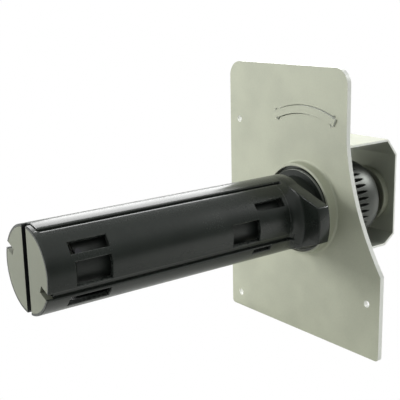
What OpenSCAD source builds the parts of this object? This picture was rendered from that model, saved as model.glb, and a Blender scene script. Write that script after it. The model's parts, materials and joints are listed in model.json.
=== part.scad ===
// Tubular roller shutter motor with a drive sleeve, a side plate and a hand-override drum.
// The X axis is the axis of rotation and points from the sleeve to the side plate.
// The origin lies on that axis, at the shoulder where the sleeve meets the drive lever.
// Angles around the axis start at the top and run towards the front side (-Y).

/* [Sleeve] */
// Length of the drive sleeve from its free end to the lever
sleeve_len = 210; // [200:1:230]
// Outer radius of the drive sleeve
sleeve_r = 30; // [29.5:0.1:31]
// Wall thickness of the sleeve shells
sleeve_wall = 3.2; // [2.8:0.1:3.4]
// Angle of the seam between the two sleeve shells
seam_angle = 22.5; // [15:0.5:30]
// Width of the groove in the middle of each shell
groove_w = 4.6; // [3:0.1:5]
// Depth of the groove in the middle of each shell
groove_depth = 2; // [1:0.1:2.2]

/* [Drive lever] */
// Thickness of the lever along the axis
lever_t = 11; // [10:0.5:11]
// Distance from the axis to the end of the lever
lever_reach = 51.2; // [44:0.1:52]
// Width of the lever's rounded end, across its corners
lever_end_w = 28; // [20:1:32]
// Angle at which the lever points
lever_angle = 90; // [80:1:100]

/* [Side plate] */
// Distance from the lever shoulder to the plate's front face
plate_x = 33; // [32:0.5:36]
// Thickness of the side plate
plate_t = 4; // [3:0.5:4]
// Height of the plate above the axis
plate_top = 113; // [105:1:120]
// Depth of the plate below the axis
plate_bottom = 106.5; // [100:0.5:112]
// Distance from the axis to the plate's rear edge
plate_rear = 91; // [88:1:100]
// Distance from the axis to the plate's front edge at the top
plate_front_top = 45.2; // [45:0.1:50]
// Distance from the axis to the plate's front edge at the bottom
plate_front_bottom = 81.7; // [80:0.1:90]
// Radius of the plate's fixing holes
plate_hole_r = 2.75; // [2:0.05:3.5]

/* [Strap bracket] */
// Width of the strap along Y
strap_w = 58; // [52:1:60]
// Thickness of the strap
strap_t = 2; // [1.5:0.1:2.2]
// Distance from the plate's back to the inside of the strap's end wall
strap_depth = 72; // [71:0.5:76]
// Height of the strap's upper leg above the axis
strap_top = 49; // [46:0.1:52]
// Depth of the strap's lower leg below the axis
strap_bottom = 36.8; // [36.6:0.1:40]

/* [Override gears] */
// Teeth on the override drum
drum_teeth = 42; // [42]
// Teeth on the crank pinion
pinion_teeth = 18; // [18]
// Module of the override gears
drum_module = 1.6; // [1.6]

/* [Gearbox] */
// Teeth on each sun gear
sun_teeth = 18; // [18]
// Teeth on each planet gear
planet_teeth = 18; // [18]
// Teeth on the ring gear
ring_teeth = 54; // [54]
// Module of the gearbox gears
gear_module = 0.7; // [0.7]

/* [Limit drive] */
// Teeth inside the limit crown
crown_teeth = 88; // [88]
// Teeth on the limit pinion
limit_teeth = 15; // [15]
// Module of the limit gears
limit_module = 0.6; // [0.6]

/* [Hidden] */
$fn = 64;
PRESSURE = 20;
BACKLASH = 0.05;
RUN = 0.05;
EPS = 0.5;
JOIN = 0.2;
BEND = 0.4;
SHIFT = 0.1;

sleeve_bore = sleeve_r - sleeve_wall;
free_x = -sleeve_len;
flare_x = -9;
flare_r = 38;
boss_r = sleeve_r - 0.5;
root_r = sleeve_r - 0.8;
flare_lead = 0.6;
seam_gap = 0.15;
seam_open = 1.2;
seam_lap_r = 28.4;
jog_len = 3.5;
jog_gap = 1.2;
groove_angle = seam_angle + 90;

// Windows in one shell: [start from the free end, end, first angle, last angle].
windows = [
    [18, 46, 48, 64], [20, 46, 74, 105], [17, 47, 121, 138],
    [171, 198, 50, 63], [146, 171, 74, 105], [168, 185, 119, 128]
];

disc_t = 5;
disc_r = 28.2;
disc_fit = 0.1;
disc_slot_w = 6;
disc_notch_w = 5.2;
disc_notch_r = 20;

plate_back = plate_x + plate_t;
strap_wall_x = plate_back + strap_depth;
strap_chamfer_x = 10;
strap_chamfer_z = [12.2, 6.9];
strap_foot = 12;
weld_w = 46;
weld_leg = 2.2;
hole_clear = 3;
bush_flange_r = 23.6;
bush_lip = 6;
bush_web = 2.6;
bush_rim = 1.8;
bush_end = 0.6;
collar_rim_r = 36.9;
collar_bore = 34.9;
collar_rim_x = plate_x - 8.4;
collar_round = 0.8;
collar_draft = 0.2;
collar_fillet = 1.9;
strip_r = [76, 82];
strip_half = 25;
strip_end = 2;
strip_rise = 1.5;
strip_groove = 0.7;
strip_depth = 2.5;
strip_hole_r = 1.4;
rear_holes_y = 79;
rear_holes_z = [64, -94];
front_hole = [-69, -63];
top_round = 12.5;
bottom_round = 3;
scoop_top = [-plate_front_top, 58];
scoop_mid = [-50.6, 8];
scoop_end = [-plate_front_bottom, -39];

tube_r = 22.5;
tube_bore = 21;
tube_x = [-186, 23.5];
hub_face_x = plate_x - 8.5;
hub_flange_r = 33;
hub_neck_r = 27;
hub_journal_r = 31;
hub_core_r = 15;
hub_x = [lever_t + 0.4, 40];
hub_step_x = 28;

drum_r = drum_module * drum_teeth / 2;
drum_tip_r = drum_r + drum_module;
drum_x = [40, 93];
drum_gear_end = 66;
drum_dome_x = 69;
dome_sweep = 77;
drum_end_r = 25.6;
drum_cavity_r = 27;
drum_cavity_end = 75;
drum_web = 4;
hub_bolt_r = 2;
hub_head_r = 3.4;
hub_head_t = 3;
hub_screw_r = 22.5;
stub_r = 12;
stub_end = strap_wall_x + strap_t + 4.2;
clip_x = strap_wall_x + strap_t + 1.05;
cable_r = 5;
grommet_bore = 3.2;
grommet_len = 12;
pinion_r = drum_module * pinion_teeth / 2;
pinion_y = drum_r + pinion_r;
pinion_x = [41, 65];
pinion_hub_r = 10;
pinion_end = 94;
stud_r = 5;
stud_end = 72;
stud_gap = 0.6;
stud_collar_r = 8;
clip_t = 1.1;
clip_wide = 2.2;
clip_deep = 0.8;
crank_af = 7;
pinion_well = 2.4;

planet_pitch = gear_module * (sun_teeth + planet_teeth) / 2;
ring_r = gear_module * ring_teeth / 2;
planet_bore = 1.55;
pin_r = 1.5;
shaft_r = 4;
out_shaft_r = 6;
end_cap_x = [-186, -181];
carrier2_x = [-180.4, -177.4];
stage2_x = [-177, -168];
carrier1_x = [-163.6, -160.6];
stage1_x = [-160.2, -151.2];
ring_x = [-180.9, -150];
rear_shield_x = [-149, -143];
rotor_x = [-134, -74];
front_shield_x = [-64, -58];
brake_disc_x = [-55, -51];
armature_x = [-50.7, -47.5];
coil_x = [-46.7, -28];
capacitor_x = [-20, 22];
switch_x = [48, 73];
bearing_r = 8;
screw_r = 1.5;
screw_rows = [for (x = [end_cap_x, rear_shield_x, front_shield_x]) (x[0] + x[1]) / 2];

limit_r = limit_module * limit_teeth / 2;
crown_r = limit_module * crown_teeth / 2;
limit_z = -(crown_r - limit_r);
crown_x = [0.8, 9.5];
limit_shaft_r = 2;
crown_outer_r = 28.3;
dowel_r = 0.8;
dowel_at = 28.2;
dowel_half = 5;

FRAME_NODES = ["side_plate", "strap_bracket", "bracket_welds", "collar_bush", "rear_bush",
    "crank_stud", "crank_circlip"];
HAND_NODES = ["crank_pinion"];
MOTOR_NODES = ["toothed_drum", "drum_circlip", "cable_grommet", "drive_hub", "hub_screws",
    "motor_tube", "stator_core", "stator_windings", "front_end_shield", "rear_end_shield",
    "front_bearing", "rear_bearing", "brake_housing", "brake_coil", "brake_spring", "capacitor",
    "capacitor_clip", "limit_switch_unit", "terminal_block", "ring_gear", "gearbox_end_cap",
    "output_bearing", "gearbox_screws"];
TURN_NODES = ["brake_armature", "rotor_core", "rotor_shaft", "brake_disc", "sun_gear_1",
    "planet_1a", "planet_1b", "planet_1c", "carrier_1", "sun_gear_2",
    "planet_2a", "planet_2b", "planet_2c", "limit_pinion"];
OUTPUT_NODES = ["carrier_2", "output_shaft", "end_disc", "drive_lever", "front_sleeve_shell",
    "rear_sleeve_shell", "sleeve_bush", "limit_crown", "lever_pins"];

// ---- Helpers ----

// Extrudes a YZ outline along X.
module along_x(x0, x1)
    translate([x0, 0, 0]) rotate([90, 0, 90]) linear_extrude(x1 - x0) children();

// Extrudes an XZ outline along Y, centred on the axis.
module across_y(width)
    translate([0, width / 2, 0]) rotate([90, 0, 0]) linear_extrude(width) children();

// Solid rod on the axis.
module rod(x0, x1, r) translate([x0, 0, 0]) rotate([0, 90, 0]) cylinder(r = r, h = x1 - x0);

// Ring on the axis.
module ring(x0, x1, r, bore) difference() {
    rod(x0, x1, r);
    rod(x0 - EPS, x1 + EPS, bore);
}

// Solid of revolution about the axis, from [x, radius] points.
module lathe(points) rotate([0, 90, 0]) rotate_extrude() polygon([for (p = points) [p[1], p[0]]]);

// Point in the YZ plane at a radius and an angle from the top towards the front.
function at(r, a) = [-r * sin(a), r * cos(a)];

// Wedge between two angles, as a YZ outline.
module wedge(a0, a1, r = 60) {
    steps = ceil((a1 - a0) / 30);
    polygon(concat([[0, 0]], [for (i = [0 : steps]) at(r, a0 + (a1 - a0) * i / steps)]));
}

// Radial slot of constant width at one angle, from radius r0 outwards.
module slot(a, w, r0, r1 = 60) rotate(a) translate([-w / 2, r0]) square([w, r1 - r0]);

// Places copies at equal steps around the axis.
module around(n, first = 0) for (i = [0 : n - 1]) rotate([first + i * 360 / n, 0, 0]) children();

// Roll angle of an involute at radius r, in radians, and the angle that it has turned, in degrees.
function roll(r, rb) = sqrt(max(0, (r / rb) * (r / rb) - 1));
function turned(r, rb) = roll(r, rb) * 180 / PI - atan(roll(r, rb));

// Point of a plane outline at a radius and an angle from its first axis.
function spoke(r, a) = r * [cos(a), sin(a)];

// Outline of an involute gear. grow widens each tooth on both flanks, in mm at the pitch circle.
module gear_outline(n, m, add, ded, grow) {
    rp = m * n / 2;
    rb = rp * cos(PRESSURE);
    rf = rp - ded * m;
    ra = rp + add * m;
    half = 90 / n + turned(rp, rb) + grow / rp * 180 / PI;
    radii = [rf, max(rb, rf + 0.02), (rp + max(rb, rf)) / 2 + 0.1 * m, ra];
    flank = [for (r = radii) [r, half - turned(r, rb)]];
    polygon([for (i = [0 : n - 1]) each concat(
        [for (k = [0 : 3]) spoke(flank[k][0], i * 360 / n - flank[k][1])],
        [for (k = [3 : -1 : 0]) spoke(flank[k][0], i * 360 / n + flank[k][1])]
    )]);
}

// ---- Fixed frame ----

// Plate outline with a scooped front edge.
module plate_outline() {
    a = top_round;
    b = bottom_round;
    scoop = [for (i = [1 : 9]) let (t = i / 10)
        pow(1 - t, 2) * scoop_top + 2 * t * (1 - t) * scoop_mid + t * t * scoop_end];
    difference() {
        polygon(concat(
            [[-plate_front_top, plate_top], scoop_top], scoop,
            [scoop_end, [-plate_front_bottom, -plate_bottom], [plate_rear, -plate_bottom],
             [plate_rear, plate_top]]));
        corner_cut([plate_rear, plate_top], [1, 1], a);
        corner_cut([-plate_front_top, plate_top], [-1, 1], a);
        corner_cut([plate_rear, -plate_bottom], [1, -1], b);
        corner_cut([-plate_front_bottom, -plate_bottom], [-1, -1], b);
    }
}

// What is cut off a square corner to round it.
module corner_cut(p, side, r) difference() {
    translate([p[0] - (side[0] > 0 ? r : EPS), p[1] - (side[1] > 0 ? r : EPS)]) square(r + EPS);
    translate([p[0] - side[0] * r, p[1] - side[1] * r]) circle(r);
}

// Rounded rim of the drawn collar, as [x, radius] points.
function collar_lip(n) = [for (i = [0 : n]) let (a = 90 * i / n)
    [collar_rim_x + collar_round * (1 - cos(a)), collar_rim_r - collar_round * (1 - sin(a))]];

// Hollow fillet where the collar runs into the plate.
function collar_foot(n) = [for (i = [0 : n]) let (a = 90 * i / n)
    [plate_x - collar_fillet * (1 - sin(a)), collar_rim_r + collar_draft + collar_fillet * (1 - cos(a))]];

module side_plate() color([0.80, 0.83, 0.79]) difference() {
    union() {
        along_x(plate_x, plate_back) plate_outline();
        lathe(concat([[collar_rim_x, collar_bore - 1]], collar_lip(3), collar_foot(6),
            [[plate_x + 1, collar_rim_r + collar_draft + collar_fillet], [plate_x + 1, collar_bore - 1]]));
        arc_strip();
    }
    rod(collar_rim_x - EPS, plate_back + EPS, collar_bore);
    for (z = rear_holes_z) plate_hole(rear_holes_y, z);
    plate_hole(front_hole[0], front_hole[1]);
    strip_relief();
}

module plate_hole(y, z) translate([plate_x - EPS, y, z]) rotate([0, 90, 0])
    cylinder(r = plate_hole_r, h = plate_t + 2 * EPS);

// Raised strip that the press has half sheared out of the plate above the collar.
module arc_strip() intersection() {
    ring(plate_x - strip_rise, plate_x + JOIN, strip_r[1], strip_r[0]);
    along_x(plate_x - strip_rise - EPS, plate_x + EPS) wedge(-strip_half, strip_half, 100);
}

// Shear grooves beside the strip, with a round relief at each of their ends.
module strip_relief() {
    intersection() {
        union() {
            ring(plate_x - EPS, plate_x + strip_depth, strip_r[1] + strip_groove, strip_r[1]);
            ring(plate_x - EPS, plate_x + strip_depth, strip_r[0], strip_r[0] - strip_groove);
        }
        along_x(plate_x - 2 * EPS, plate_x + strip_depth + EPS)
            wedge(strip_end - strip_half, strip_half - strip_end, 100);
    }
    for (a = [-1, 1], r = [strip_r[0] - strip_groove, strip_r[1] + strip_groove])
        translate(concat([plate_x - strip_rise - EPS], at(r, a * (strip_half - strip_end))))
            rotate([0, 90, 0]) cylinder(r = strip_hole_r, h = strip_rise + strip_depth + EPS);
}

// XZ outline of the bent strap; grow moves it outwards by the sheet's thickness.
function strap_path(g) = [
    [plate_back, strap_top + g], [strap_wall_x - strap_chamfer_x + g * BEND, strap_top + g],
    [strap_wall_x + g, strap_top - strap_chamfer_z[0] + g * BEND],
    [strap_wall_x + g, -strap_bottom + strap_chamfer_z[1] - g * BEND],
    [strap_wall_x - strap_chamfer_x + g * BEND, -strap_bottom - g], [plate_back, -strap_bottom - g]];

module strap_bracket() color([0.62, 0.66, 0.62]) difference() {
    union() {
        across_y(strap_w) difference() {
            polygon(strap_path(strap_t));
            polygon(strap_path(0));
        }
        for (z = [strap_top + strap_t, -strap_bottom - strap_t - strap_foot])
            translate([plate_back, -strap_w / 2, z - (z > 0 ? SHIFT : -SHIFT)])
                cube([strap_t, strap_w, strap_foot]);
    }
    rod(strap_wall_x - EPS, strap_wall_x + strap_t + EPS, stub_r + hole_clear);
}

// Rounded fillet of weld metal between a foot's edge and the plate.
module weld_bead(side, n)
    polygon(concat([[0, 0]], [for (i = [0 : n]) weld_leg * [cos(90 * i / n), side * sin(90 * i / n)]]));

module bracket_welds() color([0.5, 0.52, 0.5])
    for (side = [-1, 1]) let (leg_z = side > 0 ? strap_top : strap_bottom)
        translate([plate_back, weld_w / 2, side * (leg_z + strap_t + strap_foot - SHIFT)])
            rotate([90, 0, 0]) linear_extrude(weld_w) weld_bead(side, 5);

module collar_bush() color([0.12, 0.12, 0.13])
    ring(hub_step_x, plate_back - 1, collar_bore, hub_journal_r + RUN);

module rear_bush() color([0.75, 0.76, 0.74]) lathe([
    [strap_wall_x - bush_web, stub_r + RUN], [strap_wall_x - bush_web, bush_flange_r - bush_rim - 0.6],
    [strap_wall_x - bush_lip, bush_flange_r - bush_rim], [strap_wall_x - bush_lip, bush_flange_r],
    [strap_wall_x, bush_flange_r], [strap_wall_x, stub_r + hole_clear],
    [strap_wall_x + strap_t + bush_end, stub_r + hole_clear],
    [strap_wall_x + strap_t + bush_end, stub_r + RUN]]);

module at_pinion() translate([0, pinion_y, 0]) children();

module crank_stud() color([0.55, 0.56, 0.58]) at_pinion() union() {
    rod(plate_back, pinion_x[0] - stud_gap, stud_collar_r);
    rod(plate_back, stud_end, stud_r);
}

module crank_circlip() color([0.2, 0.2, 0.22]) at_pinion()
    ring(stud_end - stud_gap - clip_t, stud_end - stud_gap, stud_r + 2, stud_r);

// ---- Hand override ----

module crank_pinion() color([0.35, 0.36, 0.38]) at_pinion() difference() {
    union() {
        along_x(pinion_x[0], pinion_x[1]) rotate(180 / pinion_teeth)
            gear_outline(pinion_teeth, drum_module, 0.95, 1.2, -BACKLASH);
        rod(pinion_x[1], pinion_end, pinion_hub_r);
    }
    rod(pinion_x[0] - EPS, stud_end - pinion_well, stud_r + RUN);
    rod(stud_end - pinion_well - SHIFT, stud_end + 1, stud_r + pinion_well);
    rod(stud_end, pinion_end + EPS, crank_af / sqrt(3) + 0.01, $fn = 6);
}

// ---- Motor body ----

// Dome profile of the drum's back, from the tip circle down to the end face.
function dome(n) = [for (i = [0 : n]) let (a = dome_sweep * i / n)
    [drum_dome_x + (drum_x[1] - drum_dome_x) * sin(a) / sin(dome_sweep),
     drum_end_r + (drum_tip_r - drum_end_r) * (cos(a) - cos(dome_sweep)) / (1 - cos(dome_sweep))]];

module toothed_drum() color([0.22, 0.23, 0.24]) difference() {
    union() {
        along_x(drum_x[0], drum_gear_end)
            gear_outline(drum_teeth, drum_module, 0.95, 1.2, -BACKLASH);
        lathe(concat([[drum_gear_end, 0], [drum_gear_end, drum_tip_r - 0.1]], dome(8), [[drum_x[1], 0]]));
        rod(drum_x[1], strap_wall_x - bush_web - 0.6, stub_r + 4);
        rod(drum_x[1], stub_end, stub_r);
    }
    rod(drum_x[0] + drum_web, drum_cavity_end, drum_cavity_r);
    rod(drum_x[0] - EPS, drum_x[0] + drum_web + EPS, hub_core_r);
    rod(drum_x[0], stub_end + EPS, cable_r);
    around(3, 30) translate([drum_x[0] - EPS, 0, hub_screw_r]) rotate([0, 90, 0])
        cylinder(r = hub_bolt_r + 0.25, h = drum_web + 1);
    ring(clip_x - 0.05, clip_x + clip_t + 0.05, stub_r + 1, stub_r - clip_deep);
    limit_bore(drum_x[0] - EPS, drum_x[0] + 5);
}

module drum_circlip() color([0.2, 0.2, 0.22])
    ring(clip_x, clip_x + clip_t, stub_r + clip_wide, stub_r - clip_deep);

module cable_grommet() color([0.08, 0.08, 0.08]) lathe([
    [stub_end - grommet_len, grommet_bore], [stub_end - grommet_len, cable_r], [stub_end, cable_r],
    [stub_end, cable_r + 2], [stub_end + 1.5, cable_r + 1.6], [stub_end + 3, grommet_bore + 1.2],
    [stub_end + 3, grommet_bore]]);

// Bore for the limit shaft.
module limit_bore(x0, x1) translate([0, 0, limit_z]) rod(x0, x1, limit_shaft_r + RUN);

module drive_hub() color([0.16, 0.17, 0.18]) difference() {
    lathe([[hub_x[0], tube_r], [hub_x[0], hub_neck_r], [hub_face_x, hub_neck_r],
        [hub_face_x, hub_flange_r - 1], [hub_face_x + 1, hub_flange_r],
        [hub_step_x - 0.6, hub_flange_r], [hub_step_x - 0.6, hub_journal_r],
        [hub_x[1], hub_journal_r], [hub_x[1], hub_core_r], [tube_x[1], hub_core_r],
        [tube_x[1], tube_r]]);
    around(3, 30) translate([hub_step_x, 0, hub_screw_r]) rotate([0, 90, 0])
        cylinder(r = hub_bolt_r, h = 13);
    limit_bore(hub_x[0] - EPS, hub_x[1] + EPS);
}

module hub_screws() color([0.6, 0.6, 0.62]) around(3, 30) translate([0, 0, hub_screw_r]) union() {
    rod(hub_step_x, drum_x[0] + drum_web, hub_bolt_r);
    difference() {
        rod(drum_x[0] + drum_web, drum_x[0] + drum_web + hub_head_t, hub_head_r);
        rod(drum_x[0] + drum_web + hub_head_t / 2, drum_x[0] + drum_web + hub_head_t + 1,
            hub_head_r / 2, $fn = 6);
    }
}

module motor_tube() color([0.13, 0.14, 0.14]) difference() {
    ring(tube_x[0], tube_x[1], tube_r, tube_bore);
    translate([0.2, -7, -tube_r - 1]) cube([tube_x[1], 14, 7]);
    for (x = screw_rows) around(3, 60) translate([x, 0, tube_bore - 1]) cylinder(r = screw_r, h = 4);
}

module gearbox_screws() color([0.25, 0.25, 0.27])
    for (x = screw_rows) around(3, 60) translate([x, 0, 0]) union() {
        translate([0, 0, tube_bore - 4]) cylinder(r = screw_r, h = tube_r - tube_bore + 4.2);
        translate([0, 0, tube_r + 0.2]) cylinder(r = 2.4, h = 1);
    }

module stator_core() color([0.35, 0.36, 0.38]) difference() {
    rod(rotor_x[0], rotor_x[1], tube_bore);
    along_x(rotor_x[0] - 1, rotor_x[1] + 1) union() {
        circle(12.4);
        for (i = [0 : 11]) rotate(i * 30) translate([14, -1.6]) square([4.6, 3.2]);
    }
}

module stator_windings() color([0.72, 0.36, 0.16]) union() {
    ring(rotor_x[0] - 6, rotor_x[0] - 0.4, 18.8, 13.4);
    ring(rotor_x[1] + 0.4, rotor_x[1] + 6, 18.8, 13.4);
    for (i = [0 : 11]) rotate([i * 30, 0, 0]) translate([rotor_x[0] - 1, 14.4, -1.2])
        cube([rotor_x[1] - rotor_x[0] + 2, 3.8, 2.4]);
}

// Bearing shield across the motor tube.
module end_shield(x, bore) difference() {
    rod(x[0], x[1], tube_bore);
    rod(x[0] - EPS, x[1] + EPS, bore);
    around(3, 60) translate([(x[0] + x[1]) / 2, 0, tube_bore - 4 - EPS]) cylinder(r = screw_r, h = 6);
}

module front_end_shield() color([0.68, 0.69, 0.70]) end_shield(front_shield_x, bearing_r);
module rear_end_shield() color([0.68, 0.69, 0.70]) end_shield(rear_shield_x, bearing_r);
module front_bearing() color([0.74, 0.6, 0.36])
    ring(front_shield_x[0], front_shield_x[1], bearing_r, shaft_r + RUN);
module rear_bearing() color([0.74, 0.6, 0.36])
    ring(rear_shield_x[0], rear_shield_x[1], bearing_r, shaft_r + RUN);

module brake_housing() color([0.3, 0.31, 0.33]) difference() {
    rod(coil_x[0], coil_x[1], tube_bore);
    ring(coil_x[0] - EPS, coil_x[0] + 13, 18, 9);
    rod(coil_x[0] - EPS, coil_x[0] + 13, 5.5);
}

module brake_coil() color([0.72, 0.36, 0.16]) ring(coil_x[0] + 0.6, coil_x[0] + 12.8, 17.6, 9.4);

// Closely drawn spring, as rings joined into a sleeve with grooves.
module brake_spring() color([0.7, 0.7, 0.72]) difference() {
    ring(coil_x[0] + 0.8, coil_x[0] + 13, 5.2, 3.6);
    for (i = [0 : 4]) ring(coil_x[0] + 2.2 + i * 2.2, coil_x[0] + 3.3 + i * 2.2, 6, 4.6);
}

module capacitor() color([0.82, 0.82, 0.80]) union() {
    rod(capacitor_x[0], capacitor_x[1], 13);
    for (s = [-1, 1]) translate([capacitor_x[1], s * 4 - 0.4, -3]) cube([7, 0.8, 6]);
}

module capacitor_clip() color([0.25, 0.25, 0.26]) union() {
    ring(capacitor_x[0] + 6, capacitor_x[0] + 12, 14.5, 13);
    for (s = [-1, 1]) translate([capacitor_x[0] + 6, s > 0 ? 14.3 : -20.8, -2]) cube([6, 6.5, 4]);
}

module limit_switch_unit() color([0.9, 0.9, 0.86]) difference() {
    union() {
        translate([switch_x[0], -11, -24]) cube([switch_x[1] - switch_x[0], 22, 16]);
        for (s = [-1, 1]) translate([switch_x[0] + 4, s * 5.5 - 3, -8]) cube([16, 6, 5]);
    }
    limit_bore(switch_x[0] - EPS, switch_x[0] + 8);
}

module terminal_block() color([0.1, 0.1, 0.11]) difference() {
    translate([switch_x[0] + 2, -12, -3]) cube([14, 24, 9]);
    for (i = [-1.5, -0.5, 0.5, 1.5]) translate([switch_x[0] + 9, i * 5.6, 1])
        cylinder(r = 1.6, h = 6);
}

module ring_gear() color([0.5, 0.51, 0.53]) difference() {
    rod(ring_x[0], ring_x[1], tube_bore, $fn = 180);
    along_x(ring_x[0] - EPS, ring_x[1] + EPS) rotate(180 / ring_teeth)
        gear_outline(ring_teeth, gear_module, 1.2, 0.9, BACKLASH);
}

module gearbox_end_cap() color([0.68, 0.69, 0.70]) end_shield(end_cap_x, out_shaft_r + 4);

module output_bearing() color([0.74, 0.6, 0.36])
    ring(end_cap_x[0] - 2, end_cap_x[1], out_shaft_r + 4, out_shaft_r + RUN);

// ---- Turning pieces ----

module brake_armature() color([0.45, 0.46, 0.48])
    ring(armature_x[0], armature_x[1], 19.5, shaft_r + 1);

module rotor_core() color([0.4, 0.41, 0.43]) ring(rotor_x[0] + 1, rotor_x[1] - 1, 12, shaft_r);

module rotor_shaft() color([0.7, 0.7, 0.72]) rod(stage1_x[0], brake_disc_x[1], shaft_r);

module brake_disc() color([0.3, 0.28, 0.26]) ring(brake_disc_x[0], brake_disc_x[1], 18.5, shaft_r);

module sun(x) along_x(x[0], x[1]) gear_outline(sun_teeth, gear_module, 0.95, 1.2, -BACKLASH);

module sun_gear_1() color([0.6, 0.6, 0.62]) difference() {
    sun([stage1_x[0], stage1_x[1]]);
    rod(stage1_x[0] - EPS, stage1_x[1] + EPS, shaft_r);
}

module planet(x, i) color([0.62, 0.58, 0.5]) rotate([i * 120, 0, 0]) translate([0, planet_pitch, 0])
    difference() {
        along_x(x[0] + 0.2, x[1] - 0.2) rotate(180 / planet_teeth)
            gear_outline(planet_teeth, gear_module, 0.95, 1.2, -BACKLASH);
        rod(x[0] - EPS, x[1] + EPS, planet_bore);
    }

// Disc with three pins that the planets turn on.
module carrier(plate, gears) union() {
    rod(plate[0], plate[1], 16.6);
    around(3) translate([0, planet_pitch, 0]) rod(plate[1] - EPS, gears[1] + 0.4, pin_r);
}

module planet_1a() planet(stage1_x, 0);
module planet_1b() planet(stage1_x, 1);
module planet_1c() planet(stage1_x, 2);
module planet_2a() planet(stage2_x, 0);
module planet_2b() planet(stage2_x, 1);
module planet_2c() planet(stage2_x, 2);

module carrier_1() color([0.5, 0.5, 0.52]) difference() {
    carrier(carrier1_x, stage1_x);
    rod(carrier1_x[0] - EPS, carrier1_x[1] + EPS, shaft_r);
}

module sun_gear_2() color([0.6, 0.6, 0.62]) union() {
    sun([stage2_x[0], carrier1_x[0] - 1]);
    rod(carrier1_x[0] - 1, carrier1_x[1] - 0.4, shaft_r);
}

module limit_pinion() color([0.9, 0.9, 0.86]) translate([0, 0, limit_z]) union() {
    along_x(crown_x[0] + 0.4, crown_x[1] - 0.4) rotate(-90)
        gear_outline(limit_teeth, limit_module, 0.9, 1.2, -BACKLASH);
    rod(crown_x[1] - 0.4, switch_x[0] + 6, limit_shaft_r);
}

// ---- Output ----

module carrier_2() color([0.5, 0.5, 0.52]) difference() {
    carrier(carrier2_x, stage2_x);
    rod(carrier2_x[0] - EPS, carrier2_x[1] + EPS, out_shaft_r);
}

module output_shaft() color([0.7, 0.7, 0.72]) rod(free_x + disc_t + 3, carrier2_x[1], out_shaft_r);

module end_disc() color([0.70, 0.71, 0.70]) difference() {
    union() {
        rod(free_x, free_x + disc_t, disc_r);
        rod(free_x + disc_t - 0.1, free_x + disc_t + 14, 12);
    }
    rod(free_x + disc_t + 3, free_x + disc_t + 15, out_shaft_r);
    along_x(free_x - EPS, free_x + disc_t - 0.8) translate([-disc_slot_w / 2, -35])
        square([disc_slot_w, 70]);
    for (a = [groove_angle, groove_angle + 180]) along_x(free_x - EPS, free_x + disc_t + EPS)
        slot(a, disc_notch_w, disc_notch_r);
}

// Outline of the lever's arm, which leaves the sleeve circle almost at a tangent and ends in an arc.
module arm_outline() {
    half_w = lever_end_w / 2;
    end_a = asin(half_w / lever_reach);
    root_a = acos(root_r / lever_reach) + end_a;
    rotate(lever_angle) intersection() {
        circle(lever_reach);
        polygon([
            [0, 0], root_r * [sin(root_a), cos(root_a)], lever_reach * [sin(end_a), cos(end_a)],
            [half_w, lever_reach + EPS], [-half_w, lever_reach + EPS],
            lever_reach * [-sin(end_a), cos(end_a)], root_r * [-sin(root_a), cos(root_a)]]);
    }
}

// Hollow flare that blends the sleeve into the arm, as [x, radius] points.
function flare(n) = [for (i = [0 : n]) let (a = 90 * i / n)
    [flare_x + flare_lead + (JOIN - flare_lead - flare_x) * sin(a),
     root_r + (flare_r - root_r) * (1 - cos(a))]];

module drive_lever() color([0.10, 0.11, 0.11]) difference() {
    union() {
        rod(flare_x, lever_t, boss_r);
        along_x(0, lever_t) arm_outline();
        intersection() {
            lathe(concat([[flare_x + flare_lead, sleeve_bore]], flare(8), [[JOIN, sleeve_bore]]));
            along_x(flare_x, JOIN) arm_outline();
        }
    }
    rod(flare_x - EPS, crown_x[0], sleeve_bore);
    rod(crown_x[0] - 0.1, lever_t + EPS, crown_outer_r);
    dowels(0.2);
    along_x(flare_x - EPS, -3) union() {
        for (a = [groove_angle, groove_angle + 180]) slot(a, groove_w, sleeve_r - groove_depth);
        for (a = [seam_angle, seam_angle + 180]) slot(a, 2 * seam_open, seam_lap_r);
    }
}

// Dowels that key the lever to the two shells.
module dowels(grow) around(4, seam_angle + 45) translate([0, 0, dowel_at])
    rod(flare_x - dowel_half - grow, flare_x + dowel_half + grow, dowel_r);

module lever_pins() color([0.6, 0.6, 0.62]) dowels(0);

// Cross-section of one shell between two angles, with an inner lap at each seam.
module shell_section(a0, a1) difference() {
    intersection() {
        difference() {
            circle(sleeve_r);
            circle(sleeve_bore);
        }
        wedge(a0, a1);
    }
    for (a = [a0, a1]) slot(a, 2 * seam_gap, sleeve_bore - 1);
    for (a = [a0, a1]) slot(a, 2 * seam_open, seam_lap_r);
}

module sleeve_shell() difference() {
    union() {
        along_x(free_x + jog_len + jog_gap, flare_x) shell_section(seam_angle, seam_angle + 180);
        along_x(free_x + jog_len, free_x + jog_len + jog_gap + 0.01)
            shell_section(seam_angle, 180);
        along_x(free_x, free_x + jog_len + 0.01) shell_section(0, 180);
    }
    rod(free_x - EPS, free_x + disc_t, disc_r + disc_fit);
    along_x(free_x - EPS, flare_x + EPS) slot(groove_angle, groove_w, sleeve_r - groove_depth);
    along_x(free_x - EPS, free_x + disc_t) slot(groove_angle, disc_notch_w, sleeve_bore - 1);
    for (a = [0, 180]) along_x(free_x - EPS, free_x + jog_len) slot(a, disc_slot_w, sleeve_bore - 1);
    for (w = windows) along_x(free_x + w[0], free_x + w[1]) wedge(w[2], w[3]);
    dowels(0.2);
}

module front_sleeve_shell() color([0.10, 0.11, 0.11]) sleeve_shell();
module rear_sleeve_shell() color([0.10, 0.11, 0.11]) rotate([180, 0, 0]) sleeve_shell();

module sleeve_bush() color([0.85, 0.85, 0.8])
    ring(flare_x - 2, crown_x[0] - 0.3, sleeve_bore, tube_r + RUN);

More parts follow.
